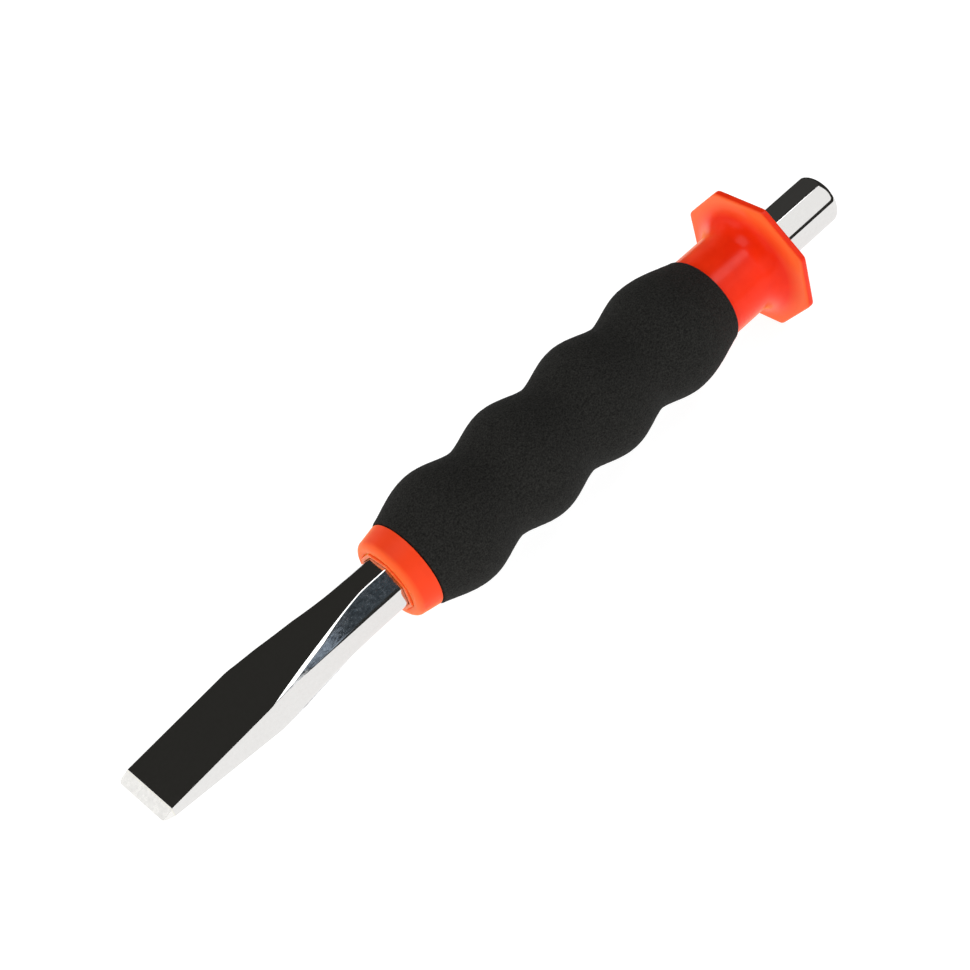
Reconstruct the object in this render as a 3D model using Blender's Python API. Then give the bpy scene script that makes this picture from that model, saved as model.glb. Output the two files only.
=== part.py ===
"""Cold chisel with a hand guard, at its real size in metres.

The frame: +X runs along the tool from the cutting edge towards the head, and the origin is the
centre of the striking face. +Z is square to the flat faces of the blade. A distance "from the
edge" is measured along the tool from the cutting edge.
"""

import math

import bmesh
import bpy

# Chisel bar: one forging of octagonal steel, ground to a flat blade and turned at the head.
OVERALL_LENGTH = 0.300
BAR_FLATS = 0.018
BLADE_WIDTH = 0.0224
EDGE_THICKNESS = 0.0003
BEVEL_LENGTH = 0.004
BEVEL_THICKNESS = 0.0034
EDGE_CORNER_RADIUS = 0.0012
TAPER_END = 0.0865
BLADE_PARALLEL_END = 0.043
FACET_START = 0.046
FACET_END = 0.090
BLADE_CHAMFER = 0.0003
FACET_EASE = 4
TRANSITION_SECTIONS = 11
HEAD_CHAMFER_LENGTH = 0.0020
HEAD_CHAMFER_DEPTH = 0.0012
HEAD_EDGE_RADIUS = 0.0004

# Guard sleeve: a plastic moulding, whose core tube runs inside the grip and out of the collar.
FIT_GAP = 0.0003
SLEEVE_START = 0.0973
NOSE_FLATS = 0.0206
NOSE_LENGTH = 0.0065
CORE_RADIUS = 0.0118
NECK_RADIUS = 0.0154
FLANGE_START = 0.2641
FLANGE_THICKNESS = 0.0028
FLANGE_FLATS = 0.0486
FLANGE_FILLET = 0.0080
FLANGE_EDGE_RADIUS = 0.0008

# Front collar: a plastic ring that closes the grip on the blade side.
COLLAR_START = 0.0978
COLLAR_CREST_RADIUS = 0.0122
COLLAR_NOSE_RADIUS = 0.0022
COLLAR_END_RADIUS = 0.0155

# Foam grip: a sleeve of closed-cell foam with four swellings.
GRIP_START = 0.1064
GRIP_END = 0.2405
GRIP_SWELLINGS = 4
GRIP_PITCH = 0.0322
GRIP_FIRST_PEAK = 0.0176
GRIP_PEAK_RADIUS = 0.0206
GRIP_WAIST_RADIUS = 0.0170
GRIP_FRONT_RADIUS = 0.0160
GRIP_REAR_RADIUS = 0.0163
GRIP_WAIST_SHARPNESS = 1.6
GRIP_END_SHARPNESS = 1.2
GRIP_STEPS = 7

# How the shapes are made.
LATHE_STEPS = 64
ARC_STEPS = 6
MERGE = 0.00005
CUT_AWAY_RADIUS = 0.006
CUTTER_OVERRUN = 0.005

STEEL = ("polished_chrome", (0.78, 0.78, 0.77), 1.0, 0.08)
PLASTIC = ("orange_plastic", (0.90, 0.07, 0.015), 0.0, 0.35)
FOAM = ("black_foam", (0.018, 0.018, 0.016), 0.0, 0.9)


def along(from_edge):
    """The X of a place that many metres from the cutting edge."""
    return from_edge - OVERALL_LENGTH


def material(name, colour, metallic, roughness):
    made = bpy.data.materials.get(name) or bpy.data.materials.new(name)
    made.use_nodes = True
    shader = made.node_tree.nodes["Principled BSDF"]
    shader.inputs["Base Color"].default_value = (*colour, 1.0)
    shader.inputs["Metallic"].default_value = metallic
    shader.inputs["Roughness"].default_value = roughness
    made.diffuse_color = (*colour, 1.0)
    return made


def add_object(name, bm, look):
    mesh = bpy.data.meshes.new(name)
    bm.to_mesh(mesh)
    bm.free()
    mesh.materials.append(material(*look))
    made = bpy.data.objects.new(name, mesh)
    bpy.context.scene.collection.objects.link(made)
    return made


def as_helper(obj):
    obj.hide_render = True
    obj.display_type = "WIRE"
    return obj


def combine(target, helper, operation):
    """Boolean with a helper shape, which a render leaves out."""
    modifier = target.modifiers.new(helper.name, "BOOLEAN")
    modifier.operation = operation
    modifier.solver = "EXACT"
    modifier.object = as_helper(helper)


def soften(obj, width):
    modifier = obj.modifiers.new("soft_edges", "BEVEL")
    modifier.width = width
    modifier.segments = 2


def octagon(flats):
    """Corners (y, z) of an octagon whose flats face +-Y, +-Z and the diagonals."""
    corner_radius = flats / 2 / math.cos(math.pi / 8)
    angles = (math.pi / 8 + i * math.pi / 4 for i in range(8))
    return [(corner_radius * math.cos(a), corner_radius * math.sin(a)) for a in angles]


def loft(name, sections, look):
    """A solid through sections (x, corners), which all have the same number of corners."""
    bm = bmesh.new()
    rings = [[bm.verts.new((x, y, z)) for y, z in corners] for x, corners in sections]
    for ring, following in zip(rings, rings[1:]):
        for i, vertex in enumerate(ring):
            j = (i + 1) % len(ring)
            bm.faces.new((vertex, following[i], following[j], ring[j]))
    bm.faces.new(rings[0])
    bm.faces.new(rings[-1][::-1])
    bmesh.ops.recalc_face_normals(bm, faces=bm.faces)
    return add_object(name, bm, look)


def prism(name, start, end, flats, look):
    """An octagonal bar between two distances from the edge."""
    return loft(name, [(along(d), octagon(flats)) for d in (start, end)], look)


def lathe(name, outline, look):
    """A ring turned about X. Its closed outline of (distance from the edge, radius) runs clockwise."""
    bm = bmesh.new()
    points = [bm.verts.new((along(d), 0.0, r)) for d, r in outline]
    for point, following in zip(points, points[1:] + points[:1]):
        bm.edges.new((point, following))
    turned = add_object(name, bm, look)
    screw = turned.modifiers.new("turned", "SCREW")
    screw.axis = "X"
    screw.angle = 2 * math.pi
    screw.steps = screw.render_steps = LATHE_STEPS
    screw.use_merge_vertices = True
    screw.merge_threshold = MERGE
    screw.use_normal_flip = True
    screw.use_smooth_shade = True
    return turned


def arc(centre, radius, start_degrees, end_degrees):
    """Points of an arc; 0 degrees is towards the head and 90 degrees is away from the axis."""
    angles = (
        math.radians(start_degrees + (end_degrees - start_degrees) * i / ARC_STEPS)
        for i in range(ARC_STEPS + 1)
    )
    return [(centre[0] + radius * math.cos(a), centre[1] + radius * math.sin(a)) for a in angles]


def share_left(from_edge, start, end):
    """1 up to the start of a stretch of the bar, falling to 0 at its end."""
    return min(1.0, max(0.0, (end - from_edge) / (end - start)))


def blade_section(from_edge):
    """Corners (y, z) of the bar at a distance from the edge, between the edge and the shank.

    The corner facets end in a point on the blade side. Their line on the top face is straight and
    then eases into the shank, and their line on the flank leaves the shank's only near the point.
    """
    shank_side = BAR_FLATS / 2 * math.tan(math.pi / 8)
    if from_edge < BEVEL_LENGTH:
        rise = from_edge / BEVEL_LENGTH
        height = (EDGE_THICKNESS + (BEVEL_THICKNESS - EDGE_THICKNESS) * rise) / 2
    else:
        rise = 1 - share_left(from_edge, BEVEL_LENGTH, TAPER_END)
        height = (BEVEL_THICKNESS + (BAR_FLATS - BEVEL_THICKNESS) * rise) / 2
    left = share_left(from_edge, BLADE_PARALLEL_END, TAPER_END)
    side = (BAR_FLATS + (BLADE_WIDTH - BAR_FLATS) * left**2) / 2
    if from_edge < EDGE_CORNER_RADIUS:
        inward = EDGE_CORNER_RADIUS - from_edge
        side -= EDGE_CORNER_RADIUS - math.sqrt(EDGE_CORNER_RADIUS**2 - inward**2)
    chamfer = min(BLADE_CHAMFER, height / 2)
    square_top, square_side = side - chamfer, height - chamfer
    open_part = share_left(from_edge, FACET_START, FACET_END)
    eased = open_part * (1 - (1 - open_part) ** FACET_EASE)
    top = shank_side + (square_top - shank_side) * eased
    flank = shank_side + (square_side - shank_side) * open_part**FACET_EASE
    quarter = [(side, flank), (top, height)]
    half = quarter + [(-y, z) for y, z in reversed(quarter)]
    return half + [(-y, -z) for y, z in half]


def chisel_bar():
    corner = [EDGE_CORNER_RADIUS * (1 - math.cos(math.radians(a))) for a in (0, 30, 60, 90)]
    step = (FACET_END - FACET_START) / TRANSITION_SECTIONS
    facet = [FACET_START + step * i for i in range(TRANSITION_SECTIONS)]
    stations = corner + [BEVEL_LENGTH, BLADE_PARALLEL_END, TAPER_END] + facet
    sections = [(along(d), blade_section(d)) for d in sorted(stations)]
    sections += [(along(d), octagon(BAR_FLATS)) for d in (FACET_END, OVERALL_LENGTH)]
    bar = loft("chisel_bar", sections, STEEL)
    combine(bar, head_cutter(), "DIFFERENCE")


def head_cutter():
    """The waste that turning removes from the head: a long chamfer with a rounded end edge."""
    corner_radius = BAR_FLATS / 2 / math.cos(math.pi / 8)
    slope = math.degrees(math.atan2(HEAD_CHAMFER_DEPTH, HEAD_CHAMFER_LENGTH))
    foot = OVERALL_LENGTH - HEAD_CHAMFER_LENGTH
    face_radius = corner_radius - HEAD_CHAMFER_DEPTH
    centre = (OVERALL_LENGTH - HEAD_EDGE_RADIUS, face_radius - HEAD_EDGE_RADIUS)
    outside = corner_radius + CUTTER_OVERRUN
    beyond = OVERALL_LENGTH + CUTTER_OVERRUN
    outline = [(foot, outside), (beyond, outside), (beyond, centre[1])]
    outline += arc(centre, HEAD_EDGE_RADIUS, 0, 90 - slope)
    outline += [(foot, corner_radius)]
    return lathe("head_cutter", outline, STEEL)


def guard_sleeve():
    core_start = SLEEVE_START + NOSE_LENGTH
    core_end = GRIP_END + FIT_GAP
    flare_start = FLANGE_START - FLANGE_FILLET
    flare_radius = NECK_RADIUS + FLANGE_FILLET
    flange_middle = FLANGE_START + FLANGE_THICKNESS / 2
    flange_end = FLANGE_START + FLANGE_THICKNESS
    outline = [(core_start, CUT_AWAY_RADIUS), (core_start, CORE_RADIUS)]
    outline += [(core_end, CORE_RADIUS), (core_end, NECK_RADIUS)]
    outline += arc((flare_start, flare_radius), FLANGE_FILLET, 270, 360)
    outline += [(flange_middle, flare_radius), (flange_middle, CUT_AWAY_RADIUS)]
    sleeve = lathe("guard_sleeve", outline, PLASTIC)
    flange = prism("flange_block", FLANGE_START, flange_end, FLANGE_FLATS, PLASTIC)
    soften(flange, FLANGE_EDGE_RADIUS)
    nose = prism("nose_block", SLEEVE_START, core_start + CUTTER_OVERRUN, NOSE_FLATS, PLASTIC)
    bore_ends = SLEEVE_START - CUTTER_OVERRUN, flange_end + CUTTER_OVERRUN
    bore = prism("bore_cutter", *bore_ends, BAR_FLATS + 2 * FIT_GAP, PLASTIC)
    combine(sleeve, flange, "UNION")
    combine(sleeve, nose, "UNION")
    combine(sleeve, bore, "DIFFERENCE")


def front_collar():
    collar_end = GRIP_START - FIT_GAP
    beyond = collar_end + CUTTER_OVERRUN
    crest = (COLLAR_START + COLLAR_NOSE_RADIUS, COLLAR_CREST_RADIUS)
    outline = [(COLLAR_START, CUT_AWAY_RADIUS)]
    outline += arc(crest, COLLAR_NOSE_RADIUS, 180, 105)
    outline += [(collar_end, COLLAR_END_RADIUS), (collar_end, CUT_AWAY_RADIUS)]
    collar = lathe("front_collar", outline, PLASTIC)
    opening_flats = NOSE_FLATS + 2 * FIT_GAP
    opening = prism("opening_cutter", COLLAR_START - CUTTER_OVERRUN, beyond, opening_flats, PLASTIC)
    combine(collar, opening, "DIFFERENCE")
    combine(collar, core_seat_cutter(beyond), "DIFFERENCE")


def core_seat_cutter(beyond):
    """The room inside the collar for the front end of the core tube."""
    front = SLEEVE_START + NOSE_LENGTH - FIT_GAP
    radius = CORE_RADIUS + FIT_GAP
    corners = [(front, CUT_AWAY_RADIUS), (front, radius), (beyond, radius)]
    return lathe("core_seat_cutter", corners + [(beyond, CUT_AWAY_RADIUS)], PLASTIC)


def swelling(low, high, sharpness):
    """Radii from a low place up to a peak, both included."""
    rise = (math.sin(math.pi / 2 * i / GRIP_STEPS) ** sharpness for i in range(GRIP_STEPS + 1))
    return [low + (high - low) * part for part in rise]


def foam_grip():
    peaks = [GRIP_START + GRIP_FIRST_PEAK + GRIP_PITCH * i for i in range(GRIP_SWELLINGS)]
    waists = [peak + GRIP_PITCH / 2 for peak in peaks[:-1]]
    up = swelling(GRIP_WAIST_RADIUS, GRIP_PEAK_RADIUS, GRIP_WAIST_SHARPNESS)
    front = swelling(GRIP_FRONT_RADIUS, GRIP_PEAK_RADIUS, GRIP_END_SHARPNESS)
    rear = swelling(GRIP_REAR_RADIUS, GRIP_PEAK_RADIUS, GRIP_END_SHARPNESS)
    stretches = [(GRIP_START, peaks[0], front)]
    for waist, before, after in zip(waists, peaks, peaks[1:]):
        stretches += [(before, waist, up[::-1]), (waist, after, up)]
    stretches += [(peaks[-1], GRIP_END, rear[::-1])]
    outline = [(GRIP_START, GRIP_FRONT_RADIUS)]
    for start, end, radii in stretches:
        spacing = (end - start) / GRIP_STEPS
        outline += [(start + spacing * i, radii[i]) for i in range(1, GRIP_STEPS + 1)]
    bore = CORE_RADIUS + FIT_GAP
    outline += [(GRIP_END, bore), (GRIP_START, bore)]
    lathe("foam_grip", outline, FOAM)


def main():
    for old in list(bpy.data.objects):
        bpy.data.objects.remove(old, do_unlink=True)
    chisel_bar()
    guard_sleeve()
    front_collar()
    foam_grip()


main()
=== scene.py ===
"""Looks of the cold chisel: fine meshes for its four pieces, procedural materials and a white studio.

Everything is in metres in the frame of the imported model: +X runs from the cutting edge to the
head, the origin is the centre of the striking face, and +Z is square to the blade's flat faces.
A distance "from the edge" is measured along the tool from the cutting edge.
"""

import math

import bmesh
import bpy
from mathutils import Matrix, Vector, noise


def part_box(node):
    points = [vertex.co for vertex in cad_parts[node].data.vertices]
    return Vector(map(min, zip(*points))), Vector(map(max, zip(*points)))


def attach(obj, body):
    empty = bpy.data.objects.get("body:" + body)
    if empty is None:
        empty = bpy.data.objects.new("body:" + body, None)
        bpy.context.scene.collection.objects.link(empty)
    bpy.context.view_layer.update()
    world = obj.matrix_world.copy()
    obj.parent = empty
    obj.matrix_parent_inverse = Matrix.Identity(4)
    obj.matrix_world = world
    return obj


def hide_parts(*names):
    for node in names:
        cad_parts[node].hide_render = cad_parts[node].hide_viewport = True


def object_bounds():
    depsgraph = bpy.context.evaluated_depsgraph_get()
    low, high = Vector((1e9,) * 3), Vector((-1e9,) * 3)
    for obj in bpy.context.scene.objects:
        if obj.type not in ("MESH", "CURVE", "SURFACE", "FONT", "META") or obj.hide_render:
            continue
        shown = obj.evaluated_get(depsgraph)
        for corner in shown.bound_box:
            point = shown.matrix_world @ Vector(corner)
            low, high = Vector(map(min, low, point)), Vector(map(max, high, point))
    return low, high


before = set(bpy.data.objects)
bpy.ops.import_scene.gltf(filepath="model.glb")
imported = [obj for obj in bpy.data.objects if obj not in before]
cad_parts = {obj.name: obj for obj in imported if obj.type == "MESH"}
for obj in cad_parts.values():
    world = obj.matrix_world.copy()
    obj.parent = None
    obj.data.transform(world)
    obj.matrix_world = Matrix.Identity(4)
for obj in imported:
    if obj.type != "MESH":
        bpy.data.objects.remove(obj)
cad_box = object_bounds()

# Chisel bar. Its length, flats and blade width come from the frame. A START or an END is a
# distance from the edge, and an EASE is the power that shapes a gradual change.
EDGE_THICKNESS = 0.0003
BEVEL_LENGTH = 0.004
BEVEL_THICKNESS = 0.0034
BEVEL_BORDER = 0.00015
STRAW_TINT_WIDTH = 0.0004
EDGE_CORNER_RADIUS = 0.0012
TAPER_END = 0.0865
BLADE_PARALLEL_END = 0.043
BLADE_WIDTH_EASE = 2
FACET_START = 0.0447
FACET_END = 0.0905
FACET_EASE = 4
BLADE_CHAMFER = 0.00002
FORGED_END = 0.100
SHANK_STRIP = 0.00035
BLADE_STRIP = 0.0012
STRIP_WIDENED_AT = 0.5
STRIP_EASE = 3
STRIP_TILT_DEGREES = 21
MOST_OF_STRIP_ROOM = 0.9
MOST_OF_STRIP_HEIGHT = 0.5
SHANK_ROUNDING = 0.0014
STRIP_ROUNDING = 0.0001
FACET_ROUNDING = 0.0030
FACET_ROUNDING_EASE = 1.5
BLADE_ROUNDING = 0.00001
HEAD_CHAMFER_LENGTH = 0.0020
HEAD_CHAMFER_DEPTH = 0.0012
HEAD_EDGE_RADIUS = 0.0004
HEAD_BLEND = 0.00025
MOST_OF_SIDE = 0.48

# Rings along the bar, and points round it.
EDGE_CORNER_STEPS = 6
BLADE_STATION = 0.02
SHANK_STATIONS = (0.18, 0.26, 0.29)
BLADE_LEAD_IN = 0.002
BLADE_STEPS = 74
HEAD_LEAD_IN = 0.0006
HEAD_LEAD_OUT = 0.0005
HEAD_STEPS = 21
FACE_RING_SHARES = (0.97, 0.7, 0.35, 0.05)
ARC_STEPS = 8
POLISHED_ARC_STEPS = 3
SIDE_STEPS = 8

# Guard sleeve.
BORE_GAP = 0.0001
NOSE_FLATS = 0.0206
NOSE_LENGTH = 0.0065
CORE_RADIUS = 0.0118
NECK_RADIUS = 0.0154
FLANGE_THICKNESS = 0.0028
FLANGE_FILLET = 0.0080
FLANGE_EDGE_RADIUS = 0.0008
FLANGE_BACK_SHARE = 0.8
SLEEVE_LIP = 0.0002
FLANGE_CORNER_SHARPNESS = 80
BORE_CORNER_SHARPNESS = 160
NOSE_CORNER_SHARPNESS = 60

# Front collar.
COLLAR_CREST_RADIUS = 0.0122
COLLAR_NOSE_RADIUS = 0.0022
COLLAR_REAR_ROUND = 0.0003
OPENING_ROUND = 0.0008
OPENING_CORNER_SHARPNESS = 160

# Foam grip.
GRIP_PITCH = 0.0322
GRIP_FIRST_PEAK = 0.0176
GRIP_SWELLINGS = 4
GRIP_WAIST_RADIUS = 0.0170
GRIP_FRONT_RADIUS = 0.0160
GRIP_REAR_RADIUS = 0.0163
GRIP_WAIST_SHARPNESS = 1.6
GRIP_END_SHARPNESS = 1.2
GRIP_END_ROUND = 0.0006
GRIP_STEPS = 260
GRIP_POINTS_AROUND = 256
GRAIN_HEIGHT = 0.00005
GRAIN_SIZE = 0.0011

# Faces that meet at more than this angle keep a sharp edge between them.
SHARP_DEGREES = 32

# How far large faces outweigh small ones in the shading, where 50 is even.
LARGE_FACE_WEIGHT = 80

# How strongly the pieces that aren't metal reflect, where 0.5 is usual.
PLASTIC_SPECULAR = 0.15
FOAM_SPECULAR = 0.15

# Roughness of the plastic: the guard is glossier than the collar.
SLEEVE_ROUGHNESS = (0.20, 0.26)
COLLAR_ROUGHNESS = (0.42, 0.50)

# How much painted glow the collar's plastic keeps behind its front edge, from 0 to 1: a lighter
# orange that stands in for light shining through it.
COLLAR_PAINTED_GLOW = 0.25

# The painted glow on the flange, a lighter orange standing in for light through thin plastic, grows
# from this far outside the neck to this far inside its edge.
PAINTED_GLOW_START = 0.003
PAINTED_GLOW_STOP = 0.001

# Paper: how much it glows, how much light it gives back, and how far below the tool it lies.
PAPER_GLOW = 0.9
PAPER_WHITENESS = 0.3
PAPER_ROUGHNESS = 0.8
PAPER_GAP = 0.0001
LIGHT_TABLE_SIZE = (0.52, 0.34)
FLOOR_SIZE = (8, 8)

# What the steel mirrors where there is no light.
ROOM_TONE = (0.029, 0.0285, 0.026)

# Colours of the cards that the forged facets mirror.
SKY = (0.50, 0.75, 1.0)
PALE_SKY = (0.68, 0.82, 1.0)

# Places on the tool's axis that the lights face.
SHANK_SPOT = (-0.2, 0, 0)
GRIP_SPOT = (-0.15, 0, 0)
NECK_SPOT = (-0.05, 0, 0)

# Camera: where it stands, and the angles of its view.
CAMERA_PLACE = (-0.3728, -0.3812, 0.4310)
CAMERA_AZIMUTH = -29.28
CAMERA_ELEVATION = 44.37
CAMERA_ROLL = 20.23
CAMERA_LENS = 73.69


# Meshes -------------------------------------------------------------------------------------


def steps(start, end, count):
    """count + 1 evenly spaced numbers from start to end."""
    return [start + (end - start) * i / count for i in range(count + 1)]


def arc(centre, radius, start_degrees, end_degrees, count=6):
    """Points of an arc; 0 degrees is towards the head and 90 degrees is away from the axis."""
    angles = [math.radians(a) for a in steps(start_degrees, end_degrees, count)]
    return [(centre[0] + radius * math.cos(a), centre[1] + radius * math.sin(a)) for a in angles]


def skin(name, rings, closed, looks, look_of=None):
    """A mesh through rings of points, either capped at both ends or joined end to start.

    look_of gives the number of a face's look from its ring and its place in the ring."""
    bm = bmesh.new()
    rows = [[bm.verts.new(p) for p in ring] for ring in rings]
    pairs = list(zip(rows, rows[1:]))
    if closed:
        pairs.append((rows[-1], rows[0]))
    for number, (row, following) in enumerate(pairs):
        for i, vertex in enumerate(row):
            j = (i + 1) % len(row)
            face = bm.faces.new((vertex, following[i], following[j], row[j]))
            if look_of:
                face.material_index = look_of(number, i)
    if not closed:
        for row in (rows[0], rows[-1]):
            bm.faces.new(row)
    bmesh.ops.recalc_face_normals(bm, faces=bm.faces)
    mesh = bpy.data.meshes.new(name)
    bm.to_mesh(mesh)
    bm.free()
    for look in looks:
        mesh.materials.append(look)
    mesh.shade_smooth()
    mesh.set_sharp_from_angle(angle=math.radians(SHARP_DEGREES))
    made = bpy.data.objects.new(name, mesh)
    bpy.context.scene.collection.objects.link(made)
    weighted = made.modifiers.new("flat_faces_stay_flat", "WEIGHTED_NORMAL")
    weighted.weight = LARGE_FACE_WEIGHT
    weighted.keep_sharp = True
    return made


def stand_for(piece, node):
    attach(piece, "root")
    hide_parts(node)


# Chisel bar ---------------------------------------------------------------------------------

bar_low, bar_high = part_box("chisel_bar")
LENGTH = bar_high.x - bar_low.x
BAR_FLATS = bar_high.z - bar_low.z
BLADE_WIDTH = bar_high.y - bar_low.y
SHANK_CORNER = BAR_FLATS / 2 / math.cos(math.pi / 8)


def along(from_edge):
    return bar_low.x + from_edge


def share_left(from_edge, start, end):
    """1 up to the start of a stretch of the bar, falling to 0 at its end."""
    return min(1.0, max(0.0, (end - from_edge) / (end - start)))


def bar_corners(from_edge):
    """The bar's twelve corners (y, z): a flank, a knee and a top at each corner facet.

    The facet lies between the flank and the knee, and a narrow strip between the knee and the
    top. On the shank the strip cuts the corner off, and on the blade it widens outwards."""
    shank_side = BAR_FLATS / 2 * math.tan(math.pi / 8)
    if from_edge < BEVEL_LENGTH:
        rise = from_edge / BEVEL_LENGTH
        height = (EDGE_THICKNESS + (BEVEL_THICKNESS - EDGE_THICKNESS) * rise) / 2
    else:
        rise = 1 - share_left(from_edge, BEVEL_LENGTH, TAPER_END)
        height = (BEVEL_THICKNESS + (BAR_FLATS - BEVEL_THICKNESS) * rise) / 2
    left = share_left(from_edge, BLADE_PARALLEL_END, TAPER_END)
    side = (BAR_FLATS + (BLADE_WIDTH - BAR_FLATS) * left**BLADE_WIDTH_EASE) / 2
    if from_edge < EDGE_CORNER_RADIUS:
        inward = EDGE_CORNER_RADIUS - from_edge
        side -= EDGE_CORNER_RADIUS - math.sqrt(EDGE_CORNER_RADIUS**2 - inward**2)
    chamfer = min(BLADE_CHAMFER, height / 2)
    open_part = share_left(from_edge, FACET_START, FACET_END)
    eased = open_part * (1 - (1 - open_part) ** FACET_EASE)
    top = shank_side + (side - chamfer - shank_side) * eased
    flank = shank_side + (height - chamfer - shank_side) * open_part**FACET_EASE
    slope = math.tan(math.radians(STRIP_TILT_DEGREES))
    widened = min(1.0, open_part / STRIP_WIDENED_AT)
    top -= SHANK_STRIP * (1 - slope) * (1 - widened)
    strip = SHANK_STRIP + (BLADE_STRIP - SHANK_STRIP) * widened**STRIP_EASE
    room = MOST_OF_STRIP_ROOM * (side - top)
    strip = min(strip, room, MOST_OF_STRIP_HEIGHT * (height - flank) / slope)
    knee = Vector((top + strip, height - strip * slope))
    quarter = [Vector((side, flank)), knee, Vector((top, height))]
    half = quarter + [Vector((-p.x, p.y)) for p in reversed(quarter)]
    return half + [-p for p in half]


def rounded_ring(corners, reaches):
    """Points round a polygon with rounded corners.

    A corner's two reaches are how far its rounding takes up the side before it and the side
    after it, at most under half of each."""
    count = len(corners)
    starts, ends = [], []
    for i, corner in enumerate(corners):
        before, after = corners[i - 1] - corner, corners[(i + 1) % count] - corner
        starts.append(corner + before * min(reaches[i][0] / before.length, MOST_OF_SIDE))
        ends.append(corner + after * min(reaches[i][1] / after.length, MOST_OF_SIDE))
    ring = []
    for i, corner in enumerate(corners):
        for t in steps(0, 1, ARC_STEPS):
            into, out_of = starts[i].lerp(corner, t), corner.lerp(ends[i], t)
            ring.append(into.lerp(out_of, t))
        following = starts[(i + 1) % count]
        ring += [ends[i].lerp(following, t) for t in steps(0, 1, SIDE_STEPS)[1:-1]]
    return ring


def bar_ring(from_edge):
    """The bar's rounded outline. On the blade side each facet rounds into its strip."""
    open_part = share_left(from_edge, FACET_START, FACET_END)
    if from_edge < FACET_START:
        flank = strip = facet = BLADE_ROUNDING
    else:
        flank = SHANK_ROUNDING + (BLADE_ROUNDING - SHANK_ROUNDING) * open_part
        strip = STRIP_ROUNDING
        facet = STRIP_ROUNDING + FACET_ROUNDING * open_part**FACET_ROUNDING_EASE
    quarter = [(flank, flank), (facet, strip), (strip, strip)]
    half = quarter + [reach[::-1] for reach in reversed(quarter)]
    return rounded_ring(bar_corners(from_edge), half * 2)


def blended_minimum(a, b, blend):
    """The lower of two lengths, with a smooth change from one to the other."""
    lower = min(a, b)
    return lower - blend * math.log(math.exp((lower - a) / blend) + math.exp((lower - b) / blend))


def head_rings():
    """The last millimetres of the bar: its octagon inside the turned chamfer, then the face."""
    slope = HEAD_CHAMFER_DEPTH / HEAD_CHAMFER_LENGTH
    foot = LENGTH - HEAD_CHAMFER_LENGTH
    face_radius = SHANK_CORNER - HEAD_CHAMFER_DEPTH
    cone = steps(foot - HEAD_LEAD_IN, LENGTH - HEAD_LEAD_OUT, HEAD_STEPS)
    turned = [(d, SHANK_CORNER - slope * (d - foot)) for d in cone]
    centre = LENGTH - HEAD_EDGE_RADIUS, face_radius - HEAD_EDGE_RADIUS
    turned += arc(centre, HEAD_EDGE_RADIUS, 90 - math.degrees(math.atan(slope)), 0)
    turned += [(LENGTH, centre[1] * share) for share in FACE_RING_SHARES]
    shank = bar_ring(LENGTH)
    rings = []
    for from_edge, radius in turned:
        kept = [p * (blended_minimum(p.length, radius, HEAD_BLEND) / p.length) for p in shank]
        rings.append([(along(from_edge), p.x, p.y) for p in kept])
    return rings


def make_bar():
    turn = steps(0, math.pi / 2, EDGE_CORNER_STEPS)
    corner = [EDGE_CORNER_RADIUS * (1 - math.cos(a)) for a in turn]
    border = [BEVEL_LENGTH - BEVEL_BORDER, BEVEL_LENGTH + BEVEL_BORDER]
    forging = steps(BLADE_PARALLEL_END - BLADE_LEAD_IN, FORGED_END, BLADE_STEPS)
    blade = corner + border + [BLADE_STATION] + forging
    rings = [[(along(d), p.x, p.y) for p in bar_ring(d)] for d in blade + list(SHANK_STATIONS)]
    rings += head_rings()
    corner_points = ARC_STEPS + SIDE_STEPS
    polished, ground, forged = range(3)
    none = (0, 0)
    to_knee = (ARC_STEPS, corner_points)
    into_knee = (0, ARC_STEPS - POLISHED_ARC_STEPS)
    from_knee = (POLISHED_ARC_STEPS, corner_points)
    forged_points = (to_knee, into_knee, none, none, from_knee, none)

    def look_of(number, i):
        """The bevel is ground, and the corner facets beside the blade are left as forged.

        Round the bar the corners come as flank, knee, top, top, knee, flank. A facet lies
        between each flank and its knee, and takes in most of the knee's rounding."""
        if number >= len(blade) - 1:
            return polished
        if blade[number] < BEVEL_LENGTH - BEVEL_BORDER:
            return ground
        place, point = divmod(i, corner_points)
        first, last = forged_points[place % len(forged_points)]
        return forged if first <= point < last else polished

    looks = [chromed_steel(), ground_steel(), forged_chrome()]
    bar = skin("polished_bar", rings, False, looks, look_of)
    stand_for(bar, "chisel_bar")


# Plastic pieces -----------------------------------------------------------------------------


def ring_angles(per_half_side=14, crowding=2.0):
    """Angles round the axis, close together at the corners of an octagon."""
    offsets = [math.pi / 8 * (i / per_half_side) ** crowding for i in range(per_half_side + 1)]
    angles = []
    for k in range(8):
        corner = math.pi / 8 + k * math.pi / 4
        angles += [corner - a for a in reversed(offsets[1:])]
        angles += [corner + a for a in offsets[:-1]]
    return angles


def octagon_reach(angle, sharpness):
    """Distance from the axis to an octagon of apothem 1, with corners rounded by sharpness."""
    towards = (max(0.0, math.cos(angle - k * math.pi / 4)) for k in range(8))
    return sum(c**sharpness for c in towards) ** (-1 / sharpness)


def section_ring(from_edge, radius, squareness=0.0, sharpness=100):
    """A ring that goes from a circle, at squareness 0, to an octagon of that apothem, at 1."""
    ring = []
    for angle in ring_angles():
        reach = radius * (1 + squareness * (octagon_reach(angle, sharpness) - 1))
        ring.append((along(from_edge), reach * math.cos(angle), reach * math.sin(angle)))
    return ring


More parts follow.
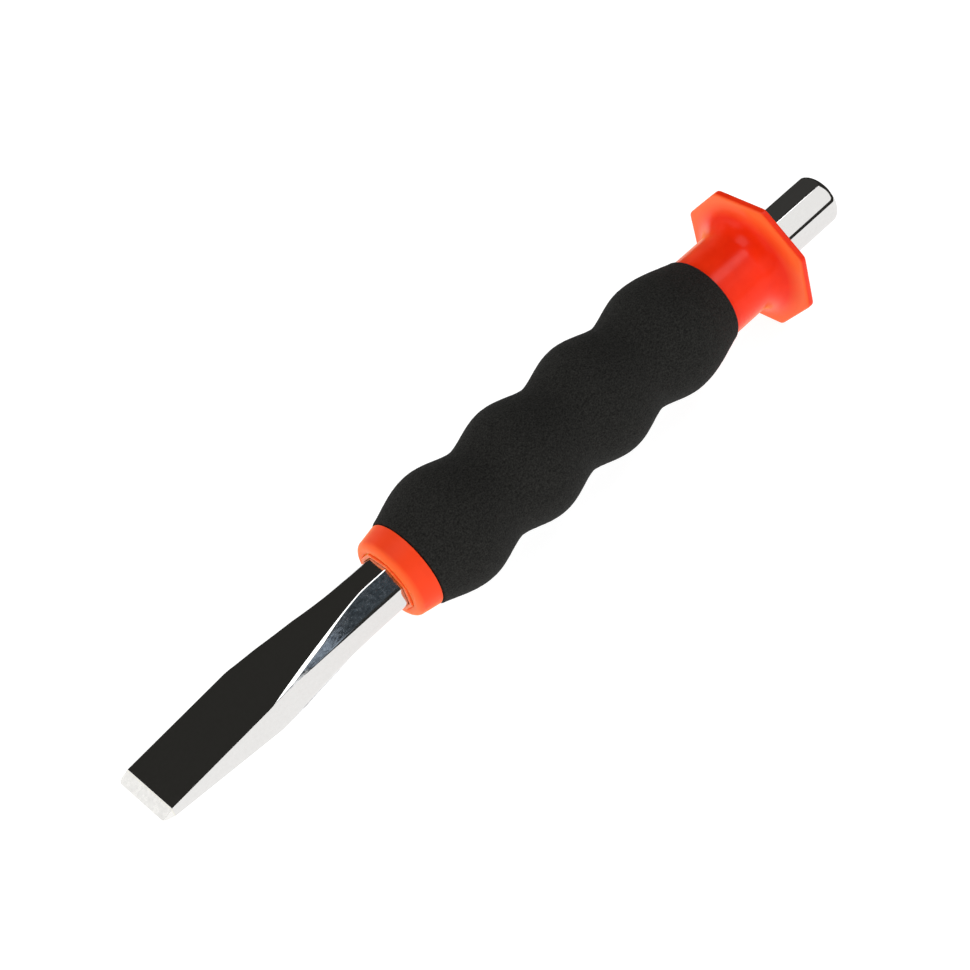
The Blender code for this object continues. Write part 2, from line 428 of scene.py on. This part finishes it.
def make_sleeve():
    low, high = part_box("guard_sleeve")
    start, end = low.x - bar_low.x, high.x - bar_low.x
    apothem = high.z
    bore = BAR_FLATS / 2 + BORE_GAP
    nose = NOSE_FLATS / 2
    grip_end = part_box("foam_grip")[1].x - bar_low.x
    flange_start = end - FLANGE_THICKNESS
    core_start = start + NOSE_LENGTH
    core_end = grip_end + BORE_GAP
    flare = flange_start - FLANGE_FILLET, NECK_RADIUS + FLANGE_FILLET
    edge = FLANGE_EDGE_RADIUS
    lip = SLEEVE_LIP
    inside = [(start + lip, bore), (start, bore + lip)]
    rings = [section_ring(d, r, 1, BORE_CORNER_SHARPNESS) for d, r in inside]
    outside = [(start, nose - lip), (start + lip, nose), (core_start, nose)]
    rings += [section_ring(d, r, 1, NOSE_CORNER_SHARPNESS) for d, r in outside]
    outline = [(core_start, CORE_RADIUS), (core_end, CORE_RADIUS), (core_end, NECK_RADIUS)]
    outline += [(d, NECK_RADIUS) for d in steps(core_end, flare[0], 4)[1:-1]]
    outline += arc(flare, FLANGE_FILLET, 270, 360, count=16)
    rings += [section_ring(d, r) for d, r in outline]
    rim = arc((flange_start + edge, apothem - edge), edge, 180, 90, count=4)
    rim += arc((end - edge, apothem - edge), edge, 90, 0, count=4)
    rings += [section_ring(d, r, 1, FLANGE_CORNER_SHARPNESS) for d, r in rim]
    back = [(end, apothem * FLANGE_BACK_SHARE), (end, bore + 2 * lip), (end - lip, bore + lip / 2)]
    back += [(end - 2 * lip, bore)]
    rings += [section_ring(d, r, 1, BORE_CORNER_SHARPNESS) for d, r in back]
    sleeve = skin("hand_guard", rings, True, [sleeve_plastic()])
    stand_for(sleeve, "guard_sleeve")


def make_collar():
    low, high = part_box("front_collar")
    start, end = low.x - bar_low.x, high.x - bar_low.x
    opening = NOSE_FLATS / 2 + BORE_GAP
    seat = CORE_RADIUS + BORE_GAP
    seat_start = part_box("guard_sleeve")[0].x - bar_low.x + NOSE_LENGTH - BORE_GAP
    crest = start + COLLAR_NOSE_RADIUS, COLLAR_CREST_RADIUS
    rear = COLLAR_REAR_ROUND
    outline = arc((end - rear, high.z - rear), rear, 0, 100, count=4)
    outline += arc(crest, COLLAR_NOSE_RADIUS, 105, 180, count=12)
    rings = [section_ring(d, r) for d, r in outline]
    inner = arc((start + OPENING_ROUND, opening + OPENING_ROUND), OPENING_ROUND, 180, 270, count=8)
    for i, (d, r) in enumerate(inner):
        rings.append(section_ring(d, r, (i + 1) / len(inner), OPENING_CORNER_SHARPNESS))
    rings += [section_ring(seat_start, opening, 1, OPENING_CORNER_SHARPNESS)]
    rings += [section_ring(d, seat) for d in (seat_start + BORE_GAP / 4, end)]
    collar = skin("end_collar", rings, True, [collar_plastic()])
    stand_for(collar, "front_collar")


# Foam grip ----------------------------------------------------------------------------------


def grip_radius(from_start, grip_length, peak_radius):
    """Outer radius of the foam: four swellings, with sharper waists between them."""
    peaks = [GRIP_FIRST_PEAK + GRIP_PITCH * i for i in range(GRIP_SWELLINGS)]
    if from_start < peaks[0]:
        low, sharpness, share = GRIP_FRONT_RADIUS, GRIP_END_SHARPNESS, from_start / peaks[0]
    elif from_start > peaks[-1]:
        share = (grip_length - from_start) / (grip_length - peaks[-1])
        low, sharpness = GRIP_REAR_RADIUS, GRIP_END_SHARPNESS
    else:
        phase = (from_start - peaks[0]) / GRIP_PITCH % 1
        share = abs(2 * phase - 1)
        low, sharpness = GRIP_WAIST_RADIUS, GRIP_WAIST_SHARPNESS
    rise = max(0.0, math.sin(math.pi / 2 * share)) ** sharpness
    return low + (peak_radius - low) * rise


def make_grip():
    low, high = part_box("foam_grip")
    length = high.x - low.x
    bore = CORE_RADIUS + BORE_GAP
    around = [2 * math.pi * i / GRIP_POINTS_AROUND for i in range(GRIP_POINTS_AROUND)]
    end = GRIP_END_ROUND
    profile = [(0.0, bore), (0.0, GRIP_FRONT_RADIUS - end)]
    profile += arc((end, GRIP_FRONT_RADIUS - end), end, 180, 110, count=4)[1:]
    for d in steps(end, length - end, GRIP_STEPS):
        profile.append((d, grip_radius(d, length, high.z - GRAIN_HEIGHT)))
    profile += arc((length - end, GRIP_REAR_RADIUS - end), end, 70, 0, count=4)
    profile += [(length, bore)]
    rings = []
    for d, radius in profile:
        ring = []
        for angle in around:
            spot = Vector((d, radius * math.cos(angle), radius * math.sin(angle)))
            grain = noise.noise(spot / GRAIN_SIZE) if radius > bore else 0.0
            reach = radius + GRAIN_HEIGHT * grain
            ring.append((low.x + d, reach * math.cos(angle), reach * math.sin(angle)))
        rings.append(ring)
    grip = skin("foam_sleeve", rings, True, [black_foam()])
    stand_for(grip, "foam_grip")


# Materials ----------------------------------------------------------------------------------


class Look:
    """A material's node tree, with the few nodes that the looks below are made of."""

    def __init__(self, name):
        self.material = bpy.data.materials.new(name)
        self.material.use_nodes = True
        self.tree = self.material.node_tree
        self.shader = self.tree.nodes["Principled BSDF"]
        self.place = self.tree.nodes.new("ShaderNodeTexCoord").outputs["Object"]

    def add(self, kind, **inputs):
        node = self.tree.nodes.new(kind)
        for name, value in inputs.items():
            self.set(node, name.replace("_", " "), value)
        return node

    def set(self, node, socket, value):
        if isinstance(value, bpy.types.NodeSocket):
            self.tree.links.new(value, node.inputs[socket])
        else:
            node.inputs[socket].default_value = value

    def stretched(self, scale):
        """The place in the piece, scaled along X, Y and Z, for grain that runs one way."""
        return self.add("ShaderNodeMapping", Vector=self.place, Scale=scale).outputs["Vector"]

    def noise(self, scale, detail=2.0, roughness=0.5, place=None):
        node = self.add(
            "ShaderNodeTexNoise",
            Vector=place or self.place,
            Scale=scale,
            Detail=detail,
            Roughness=roughness,
        )
        return node.outputs["Fac"]

    def ranged(self, value, low, high, from_low=0.35, from_high=0.65):
        """A value turned into low to high, by default from the range that most noise lies in."""
        node = self.add(
            "ShaderNodeMapRange",
            Value=value,
            From_Min=from_low,
            From_Max=from_high,
            To_Min=low,
            To_Max=high,
        )
        return node.outputs["Result"]

    def mixed(self, share, first, second):
        node = self.tree.nodes.new("ShaderNodeMix")
        node.data_type = "RGBA"
        self.set(node, "Factor", share)
        colours = [socket for socket in node.inputs if socket.type == "RGBA"]
        for socket, colour in zip(colours, (first, second)):
            if isinstance(colour, bpy.types.NodeSocket):
                self.tree.links.new(colour, socket)
            else:
                socket.default_value = (*colour, 1)
        return next(socket for socket in node.outputs if socket.type == "RGBA")

    def either(self, operation, first, second):
        """MINIMUM or MAXIMUM of two values."""
        node = self.tree.nodes.new("ShaderNodeMath")
        node.operation = operation
        self.tree.links.new(first, node.inputs[0])
        self.tree.links.new(second, node.inputs[1])
        return node.outputs["Value"]

    def bump(self, height, strength, distance, normal=None):
        node = self.add("ShaderNodeBump", Height=height, Strength=strength, Distance=distance)
        if normal:
            self.tree.links.new(normal, node.inputs["Normal"])
        return node.outputs["Normal"]

    def finish(self, **inputs):
        for name, value in inputs.items():
            self.set(self.shader, name.replace("_", " "), value)
        return self.material


def chromed_steel():
    """Polished chrome plate over ground steel: faint long grinding lines and a slight unevenness."""
    look = Look("polished_chrome")
    mottling = look.noise(900, 4, 0.6)
    lines = look.noise(1, 3, 0.6, look.stretched((60, 2500, 2500)))
    tone = look.mixed(look.ranged(mottling, 0, 1), (0.695, 0.685, 0.672), (0.715, 0.706, 0.694))
    uneven = look.bump(mottling, 0.03, 0.00004)
    normal = look.bump(lines, 0.04, 0.00002, uneven)
    return look.finish(
        Base_Color=tone, Metallic=1.0, Roughness=look.ranged(mottling, 0.06, 0.10), Normal=normal
    )


def forged_chrome():
    """Chrome plate over the forged corner facets, which are uneven and streaked along the bar."""
    look = Look("forged_chrome")
    streaks = look.noise(1, 4, 0.65, look.stretched((260, 900, 900)))
    pits = look.noise(700, 5, 0.7)
    tone = look.mixed(look.ranged(pits, 0, 1), (0.34, 0.35, 0.36), (0.80, 0.81, 0.82))
    uneven = look.bump(streaks, 0.4, 0.00020)
    normal = look.bump(pits, 0.12, 0.00010, uneven)
    return look.finish(
        Base_Color=tone, Metallic=1.0, Roughness=look.ranged(pits, 0.11, 0.17), Normal=normal
    )


def ground_steel():
    """The cutting bevel: ground bright, with fine lines square to the edge and a straw border."""
    look = Look("ground_steel")
    patches = look.noise(700, 3, 0.6)
    lines = look.noise(1, 2, 0.5, look.stretched((200, 7000, 200)))
    bright = look.mixed(look.ranged(patches, 0, 1), (0.80, 0.79, 0.765), (0.825, 0.815, 0.795))
    x = look.add("ShaderNodeSeparateXYZ", Vector=look.place).outputs["X"]
    border = along(BEVEL_LENGTH)
    tint = look.ranged(x, 0, 1, border - STRAW_TINT_WIDTH, border)
    tone = look.mixed(tint, bright, (0.72, 0.68, 0.45))
    normal = look.bump(lines, 0.01, 0.00002)
    return look.finish(
        Base_Color=tone, Metallic=1.0, Roughness=look.ranged(patches, 0.26, 0.32), Normal=normal
    )


def orange_plastic(look, painted_glow, roughness):
    """Satin moulded plastic, slightly translucent, with a painted glow: the second argument mixes in
    a lighter orange, painted where light would shine through thin plastic.

    Its roughness goes from the first of two numbers to the second."""
    flow = look.noise(90, 3, 0.55)
    grain = look.noise(3500, 2, 0.5)
    deep = look.mixed(look.ranged(flow, 0, 1), (0.84, 0.021, 0.0025), (0.92, 0.030, 0.0045))
    # Painted glow: a lighter orange that stands in for light shining through thin plastic.
    tone = look.mixed(painted_glow, deep, (0.97, 0.140, 0.032))
    normal = look.bump(grain, 0.15, 0.00003)
    return look.finish(
        Base_Color=tone,
        Roughness=look.ranged(look.noise(500, 3, 0.6), *roughness),
        Normal=normal,
        Specular_IOR_Level=PLASTIC_SPECULAR,
        Sheen_Weight=0.9,
        Sheen_Roughness=0.3,
        Sheen_Tint=(1.0, 0.5, 0.1, 1.0),
    )


def sleeve_plastic():
    """The hand guard's plastic, with a painted glow: lighter orange on the front side of the flange,
    growing towards its edge, and at the nose.
    """
    look = Look("sleeve_plastic")
    x = look.add("ShaderNodeSeparateXYZ", Vector=look.place).outputs["X"]
    across = look.add("ShaderNodeVectorMath", Vector=look.stretched((0, 1, 1)))
    across.operation = "LENGTH"
    low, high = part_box("guard_sleeve")
    flange_front = high.x - FLANGE_THICKNESS
    starts, stops = NECK_RADIUS + PAINTED_GLOW_START, high.z - PAINTED_GLOW_STOP
    outward = look.ranged(across.outputs["Value"], 0, 1, starts, stops)
    on_front = look.ranged(x, 1, 0, flange_front, flange_front + FLANGE_EDGE_RADIUS)
    nose = look.ranged(x, 1, 0, low.x, low.x + NOSE_LENGTH)
    # Painted glow on the flange's front side and at the nose, standing in for light shining through
    # thin plastic.
    painted_glow = look.either("MAXIMUM", look.either("MINIMUM", outward, on_front), nose)
    return orange_plastic(look, painted_glow, SLEEVE_ROUGHNESS)


def collar_plastic():
    """The collar's plastic, with a painted glow: lighter orange at its front edge, fading behind it,
    that stands in for light shining through thin plastic.
    """
    look = Look("collar_plastic")
    x = look.add("ShaderNodeSeparateXYZ", Vector=look.place).outputs["X"]
    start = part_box("front_collar")[0].x
    # Painted glow, strongest at the front edge and falling to the collar's own share behind it.
    painted_glow = look.ranged(x, 1, COLLAR_PAINTED_GLOW, start, start + COLLAR_NOSE_RADIUS)
    return orange_plastic(look, painted_glow, COLLAR_ROUGHNESS)


def black_foam():
    """Closed-cell foam: a fine open grain of dark pores and slightly lighter rims."""
    look = Look("foam_cells")
    grain = look.noise(1900, 3, 0.65)
    pores = look.add("ShaderNodeTexVoronoi", Vector=look.place, Scale=2400).outputs["Distance"]
    shade = look.ranged(grain, 0, 1, 0.3, 0.7)
    tone = look.mixed(shade, (0.004, 0.004, 0.0036), (0.029, 0.0285, 0.026))
    rough = look.bump(grain, 0.8, 0.00025)
    normal = look.bump(pores, 0.5, 0.0002, rough)
    return look.finish(
        Base_Color=tone, Roughness=0.92, Normal=normal, Specular_IOR_Level=FOAM_SPECULAR
    )


# Studio -------------------------------------------------------------------------------------


def white_paper():
    """Paper that is lit and also glows, as on a light table."""
    look = Look("white_paper")
    return look.finish(
        Base_Color=(PAPER_WHITENESS, PAPER_WHITENESS, PAPER_WHITENESS, 1),
        Roughness=PAPER_ROUGHNESS,
        Emission_Color=(1, 1, 1, 1),
        Emission_Strength=PAPER_GLOW,
    )


def plane(name, centre, size, look):
    mesh = bpy.data.meshes.new(name)
    x, y = size[0] / 2, size[1] / 2
    mesh.from_pydata([(-x, -y, 0), (x, -y, 0), (x, y, 0), (-x, y, 0)], [], [(0, 1, 2, 3)])
    mesh.materials.append(look)
    made = bpy.data.objects.new(name, mesh)
    made.location = centre
    bpy.context.scene.collection.objects.link(made)
    return made


def softbox(name, place, target, size, radiance, colour=(1, 1, 1), mirrored=True):
    """A rectangular light of even brightness that faces its target and that the camera can't see.

    The pieces mirror it, unless mirrored is False."""
    data = bpy.data.lights.new(name, "AREA")
    data.shape = "RECTANGLE"
    data.size, data.size_y = size
    data.energy = radiance * math.pi * size[0] * size[1]
    data.color = colour
    light = bpy.data.objects.new(name, data)
    light.location = place
    light.rotation_euler = (Vector(target) - Vector(place)).to_track_quat("-Z", "Y").to_euler()
    light.visible_camera = False
    light.visible_glossy = mirrored
    bpy.context.scene.collection.objects.link(light)


def make_paper():
    """A light table under the tool, which the steel mirrors, and a floor round it."""
    low, high = cad_box
    x = (low.x + high.x) / 2
    paper = white_paper()
    plane("light_table", (x, 0, low.z - PAPER_GAP), LIGHT_TABLE_SIZE, paper)
    floor = plane("floor", (x, 0, low.z - 2 * PAPER_GAP), FLOOR_SIZE, paper)
    floor.visible_glossy = False


def make_lights():
    """Each light's name, place, target, size and radiance, and its colour if it isn't white.

    The bright faces mirror the softboxes, the dark ones mirror the cards, and the walls that
    aren't mirrored light the plastic and the foam from the sides."""
    softbox("overhead_softbox", (-0.12, 0, 1.3), (-0.12, 0, 0), (0.85, 0.6), 2.8)
    softbox("high_softbox", (0.74, -0.55, 1.3), NECK_SPOT, (0.45, 0.45), 4.8)
    softbox("right_softbox", (0.62, -0.74, 0.68), NECK_SPOT, (0.5, 0.5), 1.1)
    softbox("left_softbox", (-0.72, 0.66, 0.64), (-0.25, 0, 0), (0.5, 0.5), 1.3)
    softbox("blue_card", (0.30, -1.05, 0.91), SHANK_SPOT, (0.5, 0.5), 0.055, SKY)
    softbox("blue_wall", (0.33, -1.06, 0.27), (-0.235, 0, 0), (0.30, 0.50), 0.50, PALE_SKY)
    softbox("high_blue_card", (0.31, -0.59, 1.23), SHANK_SPOT, (0.7, 0.45), 0.25, SKY)
    softbox("front_wall", (-0.1, -1.2, 0.35), GRIP_SPOT, (2.4, 0.7), 1.8, mirrored=False)
    softbox("back_wall", (-0.1, 1.2, 0.35), GRIP_SPOT, (2.4, 0.7), 2.3, mirrored=False)
    softbox("tip_wall", (-1.3, 0, 0.35), GRIP_SPOT, (1.6, 0.7), 2.7, mirrored=False)
    softbox("head_card", (0.84, 0.77, 0.81), (0, 0, 0), (0.5, 0.5), 0.02)


def make_room():
    """A dark room that the steel mirrors, with a backdrop as bright as the paper for the camera."""
    world = bpy.data.worlds.new("studio")
    world.use_nodes = True
    nodes, links = world.node_tree.nodes, world.node_tree.links
    room, backdrop = nodes["Background"], nodes.new("ShaderNodeBackground")
    room.inputs["Color"].default_value = (*ROOM_TONE, 1)
    backdrop.inputs["Color"].default_value = (PAPER_GLOW, PAPER_GLOW, PAPER_GLOW, 1)
    seen = nodes.new("ShaderNodeLightPath").outputs["Is Camera Ray"]
    chosen = nodes.new("ShaderNodeMixShader")
    for socket, source in enumerate((seen, room.outputs[0], backdrop.outputs[0])):
        links.new(source, chosen.inputs[socket])
    links.new(chosen.outputs[0], nodes["World Output"].inputs["Surface"])
    bpy.context.scene.world = world
    bpy.context.scene.view_settings.view_transform = "Standard"


def make_camera():
    azimuth, elevation = math.radians(CAMERA_AZIMUTH), math.radians(CAMERA_ELEVATION)
    data = bpy.data.cameras.new("camera")
    data.lens = CAMERA_LENS
    camera = bpy.data.objects.new("camera", data)
    turn = Matrix.Rotation(azimuth, 4, "Z") @ Matrix.Rotation(math.pi / 2 - elevation, 4, "X")
    roll = Matrix.Rotation(math.radians(-CAMERA_ROLL), 4, "Z")
    camera.matrix_world = Matrix.Translation(CAMERA_PLACE) @ turn @ roll
    bpy.context.scene.collection.objects.link(camera)
    bpy.context.scene.camera = camera


make_camera()
make_bar()
make_sleeve()
make_collar()
make_grip()
make_paper()
make_lights()
make_room()
